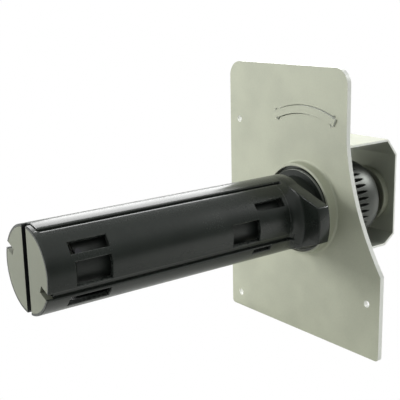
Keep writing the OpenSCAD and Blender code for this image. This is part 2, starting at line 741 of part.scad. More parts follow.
module limit_crown() color([0.85, 0.85, 0.8]) difference() {
    rod(crown_x[0], crown_x[1], crown_outer_r, $fn = 360);
    along_x(crown_x[0] - EPS, crown_x[1] + EPS)
        gear_outline(crown_teeth, limit_module, 1.2, 0.8, BACKLASH);
}

// ---- Drawing ----

side_plate();
strap_bracket();
bracket_welds();
collar_bush();
rear_bush();
crank_stud();
crank_circlip();
crank_pinion();
toothed_drum();
drum_circlip();
cable_grommet();
drive_hub();
hub_screws();
motor_tube();
stator_core();
stator_windings();
front_end_shield();
rear_end_shield();
front_bearing();
rear_bearing();
brake_housing();
brake_coil();
brake_spring();
capacitor();
capacitor_clip();
limit_switch_unit();
terminal_block();
ring_gear();
gearbox_end_cap();
output_bearing();
gearbox_screws();
brake_armature();
rotor_core();
rotor_shaft();
brake_disc();
sun_gear_1();
planet_1a();
planet_1b();
planet_1c();
carrier_1();
sun_gear_2();
planet_2a();
planet_2b();
planet_2c();
limit_pinion();
carrier_2();
output_shaft();
end_disc();
drive_lever();
front_sleeve_shell();
rear_sleeve_shell();
sleeve_bush();
limit_crown();
lever_pins();
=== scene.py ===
# %% [markdown]
# # A roller shutter motor
# The object is a tubular motor for a rolling shutter. A slotted black sleeve turns the
# shutter's roller, a flat steel plate holds the motor to the shutter box, and behind the
# plate a strap carries a toothed drum for opening the shutter by hand.
# The mechanical model is already made. This lesson loads it, gives each piece
# its finish, and builds the surfaces that need more shape than a mechanical model has.

# %% Load the mechanical model
import json
import math

import bmesh
import bpy
import numpy as np
from mathutils import Matrix, Vector


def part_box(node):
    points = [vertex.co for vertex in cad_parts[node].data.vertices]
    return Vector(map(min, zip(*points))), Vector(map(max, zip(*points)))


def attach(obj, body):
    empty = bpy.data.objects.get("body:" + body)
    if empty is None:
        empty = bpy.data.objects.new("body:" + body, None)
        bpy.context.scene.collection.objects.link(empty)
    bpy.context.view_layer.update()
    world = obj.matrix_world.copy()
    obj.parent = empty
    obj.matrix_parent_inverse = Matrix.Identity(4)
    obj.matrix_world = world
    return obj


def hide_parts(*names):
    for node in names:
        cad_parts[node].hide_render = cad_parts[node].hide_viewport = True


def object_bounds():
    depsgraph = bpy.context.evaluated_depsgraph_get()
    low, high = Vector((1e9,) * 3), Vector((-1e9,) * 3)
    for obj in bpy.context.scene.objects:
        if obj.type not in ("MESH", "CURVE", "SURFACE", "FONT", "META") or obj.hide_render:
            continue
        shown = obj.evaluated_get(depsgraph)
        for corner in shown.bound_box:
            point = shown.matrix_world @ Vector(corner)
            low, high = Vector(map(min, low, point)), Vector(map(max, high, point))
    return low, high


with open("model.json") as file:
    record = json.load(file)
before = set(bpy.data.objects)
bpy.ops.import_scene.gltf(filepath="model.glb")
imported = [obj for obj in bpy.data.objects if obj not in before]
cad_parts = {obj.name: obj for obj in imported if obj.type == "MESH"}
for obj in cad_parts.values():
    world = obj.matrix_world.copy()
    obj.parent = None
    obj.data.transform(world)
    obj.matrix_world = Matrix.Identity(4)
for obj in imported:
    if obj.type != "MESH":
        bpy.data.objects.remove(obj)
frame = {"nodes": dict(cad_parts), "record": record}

cad_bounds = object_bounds()
nodes = frame["nodes"]
MM = 0.001

# %% [markdown]
# ## Camera
# The motor is seen from the front and a little above, looking along the sleeve towards the
# plate. A long lens keeps the sleeve from flaring towards the eye. The camera is placed by
# its compass direction, its dip and a small roll, because those are what a person at a
# tripod would set.

# %% Camera
def aim(azimuth, dip, roll):
    """Axes of a camera whose view leans `azimuth` from +X towards +Y and `dip` below level.
    The right-hand axis is level, and then both side axes turn by `roll` about the view."""
    ahead = math.cos(dip)
    view = Vector((ahead * math.cos(azimuth), ahead * math.sin(azimuth), -math.sin(dip)))
    level = view.cross(Vector((0, 0, 1))).normalized()
    up = level.cross(view)
    right = math.cos(roll) * level + math.sin(roll) * up
    top = math.cos(roll) * up - math.sin(roll) * level
    return Matrix((right, top, -view)).transposed()


camera_data = bpy.data.cameras.new("camera")
camera_data.sensor_width = 36
camera_data.lens = 74.2
camera_data.clip_start = 0.01
camera = bpy.data.objects.new("camera", camera_data)
bpy.context.scene.collection.objects.link(camera)
turn = aim(math.radians(53.09), math.radians(13.67), math.radians(-1.29))
camera.matrix_world = Matrix.Translation(Vector((-420.4, -465.1, 164.5)) * MM) @ turn.to_4x4()
bpy.context.scene.camera = camera
print("camera looks along", [round(c, 3) for c in -turn.col[2]])

# %% [markdown]
# ## Light
# Black gloss shows only what it reflects. A large soft box behind and above the motor lies
# along the top of the sleeve as one long pale streak. A second box, high on the left, lights
# the flat face of the plate and leaves the side of the collar in soft shade. A third, high on
# the right, is aimed at the drum and picks out the cut edges of the steel.

# %% Soft boxes
def soft_box(name, place, target, size, power):
    """A square area light that faces its target. Lengths are in metres and the power in watts."""
    data = bpy.data.lights.new(name, "AREA")
    data.energy = power
    data.size = size
    lamp = bpy.data.objects.new(name, data)
    lamp.location = place
    lamp.rotation_euler = (Vector(target) - Vector(place)).to_track_quat("-Z", "Y").to_euler()
    bpy.context.scene.collection.objects.link(lamp)


middle = (Vector(cad_bounds[0]) + Vector(cad_bounds[1])) / 2
soft_box("back_box", (0.80, 1.00, 0.80), middle, 1.1, 16)
soft_box("left_box", (-1.20, 1.00, 0.42), middle, 0.6, 14)
drum_middle = (0.07, 0, 0)
soft_box("edge_box", (1.30, -0.42, 0.75), drum_middle, 0.4, 11)

# %% [markdown]
# ## Studio walls and floor
# The studio is white overhead and behind the motor. On the side that the sleeve's flank
# faces, the wall is darker just above the floor, as it is in a real studio beyond the edge of
# the table. That dark band is what gives the black flank its depth. The walls are drawn by
# direction in the world shader. The floor is pale behind the motor and greyer towards the
# eye, so that the underside of the sleeve reflects less. The eye itself sees both as plain
# white: only reflections and bounced light see the tones.

# %% Studio walls
def smooth_step(make, low, high):
    """A Map Range node that rises smoothly from 0 at `low` to 1 at `high`."""
    node = make("ShaderNodeMapRange")
    node.interpolation_type = "SMOOTHSTEP"
    node.inputs["From Min"].default_value = low
    node.inputs["From Max"].default_value = high
    return node


def studio_world(front=(-0.10, -0.99, 0.0), dark=0.16, bright=0.62):
    """World light by direction: bright, but falling to dark low down on the front side.
    The share of dark is a smooth step of the dot product with `front`, times a smooth step
    that fades it out as the direction rises from the horizon."""
    world = bpy.data.worlds.new("studio")
    world.use_nodes = True
    tree = world.node_tree
    tree.nodes.clear()
    make = tree.nodes.new
    link = tree.links.new
    place = make("ShaderNodeTexCoord")
    towards = make("ShaderNodeVectorMath")
    towards.operation = "DOT_PRODUCT"
    towards.inputs[1].default_value = front
    side = smooth_step(make, -0.15, 0.8)
    parts = make("ShaderNodeSeparateXYZ")
    low = smooth_step(make, 0.75, 0.10)
    share = make("ShaderNodeMath")
    share.operation = "MULTIPLY"
    level = make("ShaderNodeMapRange")
    level.inputs["To Min"].default_value = bright
    level.inputs["To Max"].default_value = dark
    walls = make("ShaderNodeBackground")
    walls.inputs["Color"].default_value = (0.97, 1.0, 0.97, 1)
    plain = make("ShaderNodeBackground")
    plain.inputs["Color"].default_value = (1, 1, 1, 1)
    path = make("ShaderNodeLightPath")
    pick = make("ShaderNodeMixShader")
    out = make("ShaderNodeOutputWorld")
    link(place.outputs["Generated"], towards.inputs[0])
    link(towards.outputs["Value"], side.inputs["Value"])
    link(place.outputs["Generated"], parts.inputs["Vector"])
    link(parts.outputs["Z"], low.inputs["Value"])
    link(side.outputs["Result"], share.inputs[0])
    link(low.outputs["Result"], share.inputs[1])
    link(share.outputs["Value"], level.inputs["Value"])
    link(level.outputs["Result"], walls.inputs["Strength"])
    link(path.outputs["Is Camera Ray"], pick.inputs["Fac"])
    link(walls.outputs["Background"], pick.inputs[1])
    link(plain.outputs["Background"], pick.inputs[2])
    link(pick.outputs["Shader"], out.inputs["Surface"])
    return world


bpy.context.scene.world = studio_world()
bpy.context.scene.view_settings.view_transform = "Standard"
print("world:", bpy.context.scene.world.name)

# %% Floor paint
def floor_material(pale=(0.74, 0.74, 0.72), grey=(0.24, 0.25, 0.24), towards_eye=(-0.80, -0.60, 0)):
    """Matt paint that turns from `pale` to `grey` as the place moves along `towards_eye`. The
    change lies between 0.10 m and 0.38 m from the middle."""
    paint = bpy.data.materials.new("floor_paint")
    paint.use_nodes = True
    tree = paint.node_tree
    make = tree.nodes.new
    link = tree.links.new
    matt = tree.nodes["Principled BSDF"]
    matt.inputs["Roughness"].default_value = 0.9
    place = make("ShaderNodeTexCoord")
    nearness = make("ShaderNodeVectorMath")
    nearness.operation = "DOT_PRODUCT"
    nearness.inputs[1].default_value = towards_eye
    edge_of_light = smooth_step(make, 0.10, 0.38)
    tone = make("ShaderNodeMix")
    tone.data_type = "RGBA"
    tone.inputs["A"].default_value = (*pale, 1)
    tone.inputs["B"].default_value = (*grey, 1)
    glow = make("ShaderNodeEmission")
    path = make("ShaderNodeLightPath")
    pick = make("ShaderNodeMixShader")
    link(place.outputs["Object"], nearness.inputs[0])
    link(nearness.outputs["Value"], edge_of_light.inputs["Value"])
    link(edge_of_light.outputs["Result"], tone.inputs["Factor"])
    link(tone.outputs["Result"], matt.inputs["Base Color"])
    link(path.outputs["Is Camera Ray"], pick.inputs["Fac"])
    link(matt.outputs["BSDF"], pick.inputs[1])
    link(glow.outputs["Emission"], pick.inputs[2])
    link(pick.outputs["Shader"], tree.nodes["Material Output"].inputs["Surface"])
    return paint


# %% Floor
floor_z = cad_bounds[0].z - 1 * MM
floor_reach = 60.0
floor_corners = [(-1, -1), (1, -1), (1, 1), (-1, 1)]
floor_mesh = bpy.data.meshes.new("floor")
floor_mesh.from_pydata([(x * floor_reach, y * floor_reach, floor_z) for x, y in floor_corners],
                       [], [(0, 1, 2, 3)])
floor_mesh.materials.append(floor_material())
floor = bpy.data.objects.new("floor", floor_mesh)
bpy.context.scene.collection.objects.link(floor)
print("floor at", round(floor_z, 4))

# %% [markdown]
# ## Finishes: shared effects
# Every finish on the motor is built from the same few effects. Cast or galvanised steel has a
# fine grain. Drawn and turned metal has lines along or around the axis. Corners are rubbed
# bright, and a thin film of dust lies on what faces up. Each effect is a node group that puts
# out a number between 0 and 1, so a finish only has to say where the number goes.

# %% Node group helpers
def effect_group(name, inputs, build):
    """A node group with float inputs and one output called Value. `build` draws its inside and
    returns the socket that holds the value."""
    group = bpy.data.node_groups.new(name, "ShaderNodeTree")
    for label, value in inputs.items():
        socket = group.interface.new_socket(label, in_out="INPUT", socket_type="NodeSocketFloat")
        socket.default_value = value
    group.interface.new_socket("Value", in_out="OUTPUT", socket_type="NodeSocketFloat")
    start = group.nodes.new("NodeGroupInput")
    end = group.nodes.new("NodeGroupOutput")
    group.links.new(build(group, start), end.inputs["Value"])
    return group


def math_node(tree, operation, first, second):
    """One Math node; each operand is a socket or a number."""
    node = tree.nodes.new("ShaderNodeMath")
    node.operation = operation
    for slot, value in enumerate((first, second)):
        if isinstance(value, (int, float)):
            node.inputs[slot].default_value = value
        else:
            tree.links.new(value, node.inputs[slot])
    return node.outputs["Value"]


def noise_node(tree, scale, stretch=(1, 1, 1), detail=4.0, roughness=0.55):
    """Noise on Object coordinates, stretched along the axes where `stretch` is below 1."""
    place = tree.nodes.new("ShaderNodeTexCoord")
    mapping = tree.nodes.new("ShaderNodeMapping")
    mapping.inputs["Scale"].default_value = stretch
    noise = tree.nodes.new("ShaderNodeTexNoise")
    noise.inputs["Detail"].default_value = detail
    noise.inputs["Roughness"].default_value = roughness
    tree.links.new(place.outputs["Object"], mapping.inputs["Vector"])
    tree.links.new(mapping.outputs["Vector"], noise.inputs["Vector"])
    if isinstance(scale, (int, float)):
        noise.inputs["Scale"].default_value = scale
    else:
        tree.links.new(scale, noise.inputs["Scale"])
    return noise.outputs["Fac"]


def ramp_node(tree, value, low, high):
    """Smooth step of a socket from `low` to `high`."""
    node = smooth_step(tree.nodes.new, low, high)
    tree.links.new(value, node.inputs["Value"])
    return node.outputs["Result"]


# %% Grain, lines, cloud, wear and dust
def build_grain(tree, start):
    """Fine even speckle, as on cast or galvanised metal."""
    return noise_node(tree, start.outputs["Scale"], detail=3.0, roughness=0.7)


def build_axial_lines(tree, start):
    """Lines along the axis of rotation, as left by drawing a tube."""
    return noise_node(tree, start.outputs["Scale"], stretch=(0.03, 1, 1), detail=3.0)


def build_turned_lines(tree, start):
    """Rings around the axis, as left by a lathe: noise that varies quickly along X only."""
    return noise_node(tree, start.outputs["Scale"], stretch=(1, 0.02, 0.02), detail=2.0)


def build_cloud(tree, start):
    """Slow patches, as in a handled or unevenly coated surface."""
    return ramp_node(tree, noise_node(tree, start.outputs["Scale"], detail=2.0), 0.3, 0.7)


def build_wear(tree, start):
    """Corners that are rubbed: high where the surface is convex, broken up by noise."""
    shape = tree.nodes.new("ShaderNodeNewGeometry")
    corner = ramp_node(tree, shape.outputs["Pointiness"], 0.52, 0.62)
    broken = ramp_node(tree, noise_node(tree, start.outputs["Scale"], detail=4.0), 0.35, 0.6)
    both = math_node(tree, "MULTIPLY", corner, broken)
    return math_node(tree, "MULTIPLY", both, start.outputs["Amount"])


def build_dust(tree, start):
    """Dust on what faces up, in patches and specks."""
    shape = tree.nodes.new("ShaderNodeNewGeometry")
    parts = tree.nodes.new("ShaderNodeSeparateXYZ")
    tree.links.new(shape.outputs["Normal"], parts.inputs["Vector"])
    up = ramp_node(tree, parts.outputs["Z"], 0.1, 0.95)
    patch = ramp_node(tree, noise_node(tree, 220.0, detail=6.0, roughness=0.75), 0.45, 0.75)
    both = math_node(tree, "MULTIPLY", up, patch)
    return math_node(tree, "MULTIPLY", both, start.outputs["Amount"])


effects = {
    "grain": effect_group("fine_grain", {"Scale": 1500.0}, build_grain),
    "axial": effect_group("axial_lines", {"Scale": 900.0}, build_axial_lines),
    "turned": effect_group("turned_lines", {"Scale": 1200.0}, build_turned_lines),
    "cloud": effect_group("slow_cloud", {"Scale": 30.0}, build_cloud),
    "wear": effect_group("edge_wear", {"Scale": 400.0, "Amount": 1.0}, build_wear),
    "dust": effect_group("dust_film", {"Amount": 1.0}, build_dust),
}
print("effects:", sorted(effects))

# %% [markdown]
# ## Finishes: the recipe
# A finish starts from one colour, lets slow patches and the fine grain shift it a little,
# lays worn corners and dust over it, and uses the same grain for roughness and for a very
# shallow bump. The plain numbers, such as how metallic the surface is, are set straight on
# the shader.

# %% Finish recipe
def place_effect(tree, kind, **values):
    """Puts one shared effect in a material and sets its inputs."""
    node = tree.nodes.new("ShaderNodeGroup")
    node.node_tree = effects[kind]
    for label, value in values.items():
        node.inputs[label.capitalize()].default_value = value
    return node.outputs["Value"]


def blend_colours(tree, share, under, over):
    """Mix of two colours by a share; each colour is a socket or a list of numbers."""
    node = tree.nodes.new("ShaderNodeMix")
    node.data_type = "RGBA"
    tree.links.new(share, node.inputs["Factor"])
    for slot, colour in ((6, under), (7, over)):
        if isinstance(colour, (tuple, list)):
            node.inputs[slot].default_value = (*colour, 1)
        else:
            tree.links.new(colour, node.inputs[slot])
    return node.outputs[2]


def scaled(colour, factor):
    """A colour made lighter or darker."""
    return tuple(min(1.0, c * factor) for c in colour)


finishes = {}


def finish(name, colour, metallic, rough, texture, scale, depth, patch=0.08, worn=0.0,
           worn_colour=(0.6, 0.6, 0.6), dust=0.0, dust_colour=(0.42, 0.42, 0.38), sheen=0.5):
    """Makes a material by the recipe and keeps it in `finishes`. `rough` is the lowest and highest
    roughness, `texture` and `scale` name the fine effect, `depth` is its height in millimetres,
    and `patch` is how far slow patches and grain shift the colour. `worn` and `dust` are amounts
    from 0 to 1."""
    material = bpy.data.materials.new(name)
    material.use_nodes = True
    tree = material.node_tree
    shader = tree.nodes["Principled BSDF"]
    shader.inputs["Metallic"].default_value = metallic
    shader.inputs["Specular IOR Level"].default_value = sheen
    fine = place_effect(tree, texture, scale=scale)
    slow = place_effect(tree, "cloud", scale=26.0)
    fine_part = math_node(tree, "MULTIPLY", fine, 0.55)
    slow_part = math_node(tree, "MULTIPLY", slow, 0.45)
    both = math_node(tree, "ADD", fine_part, slow_part)
    paint = blend_colours(tree, both, scaled(colour, 1 - patch), scaled(colour, 1 + patch))
    if worn:
        paint = blend_colours(tree, place_effect(tree, "wear", amount=worn), paint, worn_colour)
    if dust:
        paint = blend_colours(tree, place_effect(tree, "dust", amount=dust), paint, dust_colour)
    tree.links.new(paint, shader.inputs["Base Color"])
    spread = tree.nodes.new("ShaderNodeMapRange")
    spread.inputs["To Min"].default_value = rough[0]
    spread.inputs["To Max"].default_value = rough[1]
    tree.links.new(both, spread.inputs["Value"])
    tree.links.new(spread.outputs["Result"], shader.inputs["Roughness"])
    bump = tree.nodes.new("ShaderNodeBump")
    bump.inputs["Strength"].default_value = 0.6
    bump.inputs["Distance"].default_value = depth * MM
    tree.links.new(fine, bump.inputs["Height"])
    tree.links.new(bump.outputs["Normal"], shader.inputs["Normal"])
    finishes[name] = material


# %% [markdown]
# ## Finishes: one for each material of the motor
# The names are those of the motor's own material slots. The visible ones are matched with
# care: satin galvanised sheet for the plate and strap, glossy black moulding for the sleeve,
# matt cast metal for the end disc, oiled dark steel for the drum. The inner pieces get the
# finish that a person would find on opening the motor.

# %% Finish table
finish("plate_steel", (0.47, 0.485, 0.385), 0.10, (0.50, 0.62), "grain", 800.0, 0.030,
       patch=0.15)
finish("cut_edge", (0.85, 0.86, 0.82), 0.0, (0.30, 0.45), "grain", 2600.0, 0.012,
       patch=0.06)
# Painted shade: a darker grey for the strap's inward faces, where shade falls inside its hollow.
finish("strap_painted_shade", (0.33, 0.345, 0.30), 0.3, (0.42, 0.55), "grain", 900.0, 0.020,
       patch=0.12)
# Painted shade: near-black for the walls and floors of the grooves beside the plate's strip.
finish("groove_painted_shade", (0.06, 0.062, 0.055), 0.3, (0.45, 0.6), "grain", 2600.0, 0.012,
       patch=0.2)
# Painted shade: near-black for the walls and floor of the slot across the end disc.
finish("slot_painted_shade", (0.010, 0.010, 0.012), 0.0, (0.45, 0.6), "grain", 1500.0, 0.008,
       patch=0.2)
finish("shell_plastic", (0.016, 0.020, 0.017), 0.0, (0.20, 0.30), "grain", 900.0, 0.006,
       patch=0.25, worn=0.25, worn_colour=(0.25, 0.26, 0.25), dust=0.02)
finish("end_metal", (0.25, 0.26, 0.205), 0.2, (0.45, 0.6), "grain", 900.0, 0.020,
       patch=0.12)
finish("drum_steel", (0.075, 0.08, 0.073), 0.80, (0.34, 0.48), "turned", 900.0, 0.012,
       patch=0.15, worn=0.5, worn_colour=(0.75, 0.75, 0.72))
# Rubbed metal and painted highlight: a lighter, shinier steel for the rim of the hub's flange.
finish("flange_wear_and_highlight", (0.12, 0.125, 0.11), 0.8, (0.30, 0.42), "turned", 1200.0, 0.008,
       patch=0.1)
finish("hub_casting", (0.020, 0.024, 0.020), 0.0, (0.45, 0.60), "grain", 1200.0, 0.020,
       patch=0.2, worn=0.2, worn_colour=(0.3, 0.3, 0.3), sheen=0.25)
finish("bush_plastic", (0.13, 0.135, 0.125), 0.5, (0.30, 0.42), "grain", 1500.0, 0.008,
       patch=0.2)
finish("dark_clip", (0.05, 0.05, 0.055), 0.8, (0.35, 0.5), "grain", 1800.0, 0.006,
       patch=0.2)
finish("rubber", (0.015, 0.015, 0.015), 0.0, (0.6, 0.8), "grain", 2200.0, 0.012,
       patch=0.3)
finish("bright_steel", (0.62, 0.62, 0.61), 1.0, (0.18, 0.32), "turned", 2000.0, 0.004,
       patch=0.05)
finish("tube_black", (0.030, 0.034, 0.031), 0.1, (0.38, 0.52), "axial", 700.0, 0.010,
       patch=0.2, dust=0.03)
finish("can_aluminium", (0.72, 0.73, 0.73), 1.0, (0.28, 0.4), "axial", 900.0, 0.006,
       patch=0.04)
finish("core_steel", (0.33, 0.34, 0.36), 0.9, (0.4, 0.55), "turned", 2600.0, 0.02,
       patch=0.12)
finish("copper", (0.62, 0.28, 0.12), 0.9, (0.25, 0.4), "turned", 3000.0, 0.05,
       patch=0.15)
finish("shield_zinc", (0.55, 0.56, 0.57), 0.8, (0.4, 0.55), "grain", 1600.0, 0.012,
       patch=0.08)
finish("bronze", (0.55, 0.38, 0.18), 0.9, (0.35, 0.5), "grain", 3000.0, 0.008,
       patch=0.12)
finish("gear_steel", (0.5, 0.5, 0.51), 1.0, (0.25, 0.4), "turned", 1500.0, 0.004,
       patch=0.08)
finish("natural_nylon", (0.78, 0.77, 0.70), 0.0, (0.35, 0.5), "grain", 900.0, 0.004,
       patch=0.04)
slot_of = {part["node"]: part["material_slot"] for part in frame["record"]["subparts"]}
bodies = frame["record"]["behaviour"]["bodies"]
body_of = {name: body for body, members in bodies.items() for name in members}
for name, obj in nodes.items():
    obj.data.materials.clear()
    obj.data.materials.append(finishes[slot_of[name]])
print("finishes:", len(finishes), "on", len(nodes), "nodes")

# %% [markdown]
# ## From arrays to pieces
# New surfaces are worked out with numpy as whole arrays of points and four-sided faces. This
# helper turns them into a mesh, shades it smooth with crisp edges, gives it the finish of the
# node that it stands for, and lets it ride on the same body.

# %% Piece maker
def stand_in(name, mesh, *replaced, crisp=32.0):
    """A piece from a mesh, in the finish and on the body of the first node that it replaces."""
    mesh.shade_smooth()
    mesh.set_sharp_from_angle(angle=math.radians(crisp))
    mesh.materials.clear()
    mesh.materials.append(finishes[slot_of[replaced[0]]])
    piece = bpy.data.objects.new(name, mesh)
    bpy.context.scene.collection.objects.link(piece)
    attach(piece, body_of[replaced[0]])
    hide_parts(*replaced)
    return piece


def mesh_from(name, points, quads):
    """A mesh from an array of points in millimetres and an array of quads. Points that no quad
    uses are left out."""
    used, index = np.unique(quads, return_inverse=True)
    quads = index.reshape(quads.shape)
    mesh = bpy.data.meshes.new(name)
    mesh.vertices.add(len(used))
    mesh.vertices.foreach_set("co", (points[used] * MM).astype(np.float32).ravel())
    mesh.loops.add(quads.size)
    mesh.loops.foreach_set("vertex_index", quads.astype(np.int32).ravel())
    mesh.polygons.add(len(quads))
    mesh.polygons.foreach_set("loop_start", np.arange(len(quads), dtype=np.int32) * 4)
    mesh.update(calc_edges=True)
    mesh.validate()
    return mesh


def around_axis(x, r, turn_by):
    """Points at distance `x` along the axis and radius `r`, with a column for each angle of
    `turn_by`, in radians from the top towards the front: (x, -r sin, r cos)."""
    turn_by = np.reshape(turn_by, (1, -1))
    return np.stack([x, -r * np.sin(turn_by), r * np.cos(turn_by)], -1).reshape(-1, 3)


def round_edges(piece, width, segments=2, angle=35.0):
    """Modifiers that round edges sharper than `angle` over `width` millimetres and keep the
    shading of the large flat faces flat."""
    bevel = piece.modifiers.new("rounded_edges", "BEVEL")
    bevel.width = width * MM
    bevel.segments = segments
    bevel.limit_method = "ANGLE"
    bevel.angle_limit = math.radians(angle)
    bevel.miter_outer = "MITER_ARC"
    even = piece.modifiers.new("even_normals", "WEIGHTED_NORMAL")
    even.keep_sharp = True


# %% [markdown]
# ## The two sleeve shells
# The sleeve is moulded in two halves that meet along a stepped seam. Each half has a groove
# down its middle and six windows where clips of the roller engage. One could cut the windows
# with booleans, but a boolean leaves ragged triangles and no chamfer. Here the wall is a grid
# of cells, one direction along the sleeve and one around it. A cell is either there or not,
# and walls are raised wherever the two meet. Points on such a border sink by a fraction of a
# millimetre, which draws the fine bright chamfer that a moulded window has.

# %% Shell dimensions
sleeve_low, sleeve_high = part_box("front_sleeve_shell")
free_end = round(sleeve_low[0] / MM, 2)
lever_face = round(sleeve_high[0] / MM, 2)
sleeve_r, sleeve_bore, lap_r = 30.0, 26.8, 28.4
# Angles from the top, in degrees.
seam, groove = 22.5, 112.5
groove_half, groove_floor = 2.3, 28.0
tab_len, tab_gap = 3.5, 1.2
seam_half, lap_half = 0.15, 1.2
slot_half, notch_half = 3.0, 2.6
disc_depth, pocket_r = 5.0, 28.3
chamfer, fold_round = 0.45, 1.0
# Each window: where it starts and ends along the sleeve, then around it in degrees.
windows = [(18, 46, 48, 64), (20, 46, 74, 105), (17, 47, 121, 138),
           (171, 198, 50, 63), (146, 171, 74, 105), (168, 185, 119, 128)]
print("sleeve runs from", free_end, "to", lever_face)


def degrees(length, radius=sleeve_r):
    """Angle that a length along the rim takes, in degrees."""
    return np.degrees(length / radius)


# %% Grid lines of a shell
def stations(edges, step, low, high, width):
    """Sorted grid lines: an even spacing, every edge, and a line `width` away on both sides of
    each edge, where the chamfer ends. Even lines closer than 1.6 widths to an edge are left out."""
    edges = np.unique(np.round(edges, 4))
    even = np.arange(low, high + step / 2, step)
    even = even[np.min(np.abs(even[:, None] - edges[None, :]), axis=1) > 1.6 * width]
    near = np.concatenate([edges - width, edges + width])
    lines = np.concatenate([even, edges, near])
    inside = (lines >= low - 1e-6) & (lines <= high + 1e-6)
    lines = np.unique(np.round(lines[inside], 4))
    keep = np.concatenate([[True], np.diff(lines) > 0.02])
    return lines[keep]


def shell_grid():
    """Distances from the free end and angles from the top at which the shell is cut into cells.
    Around a step of the surface the lines lie close, so that its lip can be round."""
    length = lever_face - free_end
    last = seam + 180 - degrees(seam_half)
    along = [0, tab_len, tab_len + tab_gap, disc_depth, length]
    around = [degrees(slot_half), seam + degrees(seam_half), 180 - degrees(slot_half), 180, last,
              groove - degrees(notch_half), groove + degrees(notch_half)]
    for window in windows:
        along.extend(window[:2])
        around.extend(window[2:])
    folds = np.array([seam + degrees(lap_half), seam + 180 - degrees(lap_half),
                      groove - degrees(groove_half), groove + degrees(groove_half)])
    u = stations(along, 6.0, 0, length, chamfer)
    a = stations(around, 2.5, degrees(slot_half), last, degrees(chamfer))
    a = a[np.min(np.abs(a[:, None] - folds[None, :]), axis=1) > degrees(fold_round + 0.1)]
    beside = np.array([0.02, 0.02 + 0.3 * fold_round, 0.02 + fold_round])
    near = (folds[:, None] + degrees(np.concatenate([-beside, beside]))[None, :]).ravel()
    return u, np.sort(np.concatenate([a, near]))


# %% Solid or empty, and how far out
def shell_cells(u, a):
    """Which cells are solid. A cell is solid between the seams of its stretch, and empty in a
    window, in the end slots and in the notch of the groove."""
    um = (u[:-1] + u[1:])[:, None] / 2
    am = (a[:-1] + a[1:])[None, :] / 2
    tab = um < tab_len
    solid = np.where(tab, am < 180 - degrees(slot_half), am > seam + degrees(seam_half))
    solid &= np.where((um >= tab_len) & (um < tab_len + tab_gap), am < 180, True)
    solid &= ~((um < disc_depth) & (np.abs(am - groove) < degrees(notch_half)))
    for near, far, first, last in windows:
        solid &= ~((um > near) & (um < far) & (am > first) & (am < last))
    return solid


def channel(a, centre, half, floor):
    """Radius of a flat-bottomed channel along the sleeve, across the angles `a`: its floor inside
    `half`, a steep wall, and a lip that rounds off over `fold_round` like a quarter circle."""
    off = np.abs(np.radians(a - centre)) * sleeve_r - half
    lip = np.clip(1 - off / fold_round, 0, 1)
    edge = sleeve_r - fold_round * (1 - np.sqrt(1 - lip * lip))
    return np.where(off < 0, floor, np.maximum(edge, floor))


def shell_radius(u, a):
    """Outer radius at each grid point: the sleeve's, less the groove in the middle and the laps
    beside the seams, where the other half's edge lies."""
    r = np.broadcast_to(channel(a, groove, groove_half, groove_floor), (len(u), len(a)))
    laps = np.minimum(channel(a, seam, lap_half, lap_r), channel(a, seam + 180, lap_half, lap_r))
    return np.where((u > tab_len + tab_gap - 1e-3)[:, None], np.minimum(r, laps), r)


# %% Walls of a shell
def shell_mesh(name, half_turn):
    """Closed wall from the cells. Outer and inner skins take one quad for each solid cell, and a
    side wall stands on each grid edge that has a solid cell on one side only."""
    u, a = shell_grid()
    solid = shell_cells(u, a)
    padded = np.pad(solid, 1)
    beside = np.stack([padded[:-1, :-1], padded[:-1, 1:], padded[1:, :-1], padded[1:, 1:]])
    border = beside.any(0) & ~beside.all(0)
    border[-1] = False
    outer = shell_radius(u, a)
    outer = np.where(border & (outer > sleeve_r - 0.05), outer - chamfer, outer)
    inner = np.where(u[:, None] < disc_depth + 0.01, pocket_r, sleeve_bore) + 0 * outer
    inner = np.minimum(inner, outer - 0.1)
    x = (u + free_end)[:, None] + 0 * outer
    points = np.concatenate([around_axis(x, r, np.radians(a)) for r in (outer, inner)])
    if half_turn:
        points = points * np.array([1, -1, -1])
    n_u, n_a = len(u), len(a)
    number = np.arange(n_u * n_a).reshape(n_u, n_a)
    inside = n_u * n_a
    i, j = np.nonzero(solid)
    ring = np.stack([number[i, j], number[i + 1, j], number[i + 1, j + 1], number[i, j + 1]], -1)
    quads = [ring[:, ::-1], ring + inside]
    step_u = padded[1:, 1:-1].astype(int) - padded[:-1, 1:-1]
    for sign in (1, -1):
        i, j = np.nonzero(step_u == sign)
        p, q = number[i, j], number[i, j + 1]
        wall = np.stack([p, q, q + inside, p + inside], -1)
        quads.append(wall[:, ::-1] if sign > 0 else wall)
    step_a = padded[1:-1, 1:].astype(int) - padded[1:-1, :-1]
    for sign in (1, -1):
        i, j = np.nonzero(step_a == sign)
        p, q = number[i, j], number[i + 1, j]
        wall = np.stack([p, q, q + inside, p + inside], -1)
        quads.append(wall if sign > 0 else wall[:, ::-1])
    return mesh_from(name, points, np.concatenate(quads))


for name, half_turn in (("front_sleeve_shell", False), ("rear_sleeve_shell", True)):
    shell = stand_in(name.replace("sleeve", "slotted"), shell_mesh(name, half_turn), name)
    print(shell.name, len(shell.data.polygons), "faces")

# %% [markdown]
# ## The driver lever
# The lever is moulded with a short stretch of sleeve that flares out into a thick arm. Around
# the axis it has one outline, and along the axis it has one section, so it is a grid in two
# directions: the angle around the axis, and the way around a closed section. For each angle a
# formula gives how far the arm reaches, and the section stretches to that reach.

# %% Outline of the lever
lever_thick, lever_bore, lever_seat = 11.0, 28.3, 0.8
arm_reach, arm_half, arm_angle, root_r = 51.2, 14.0, 90.0, 29.2
flare_top, arm_edge, channel_end = 37.0, 0.9, -3.0
corner_softness = 0.5
arm_corner = math.degrees(math.asin(arm_half / arm_reach))
arm_tangent = arm_corner + math.degrees(math.acos(root_r / arm_reach))


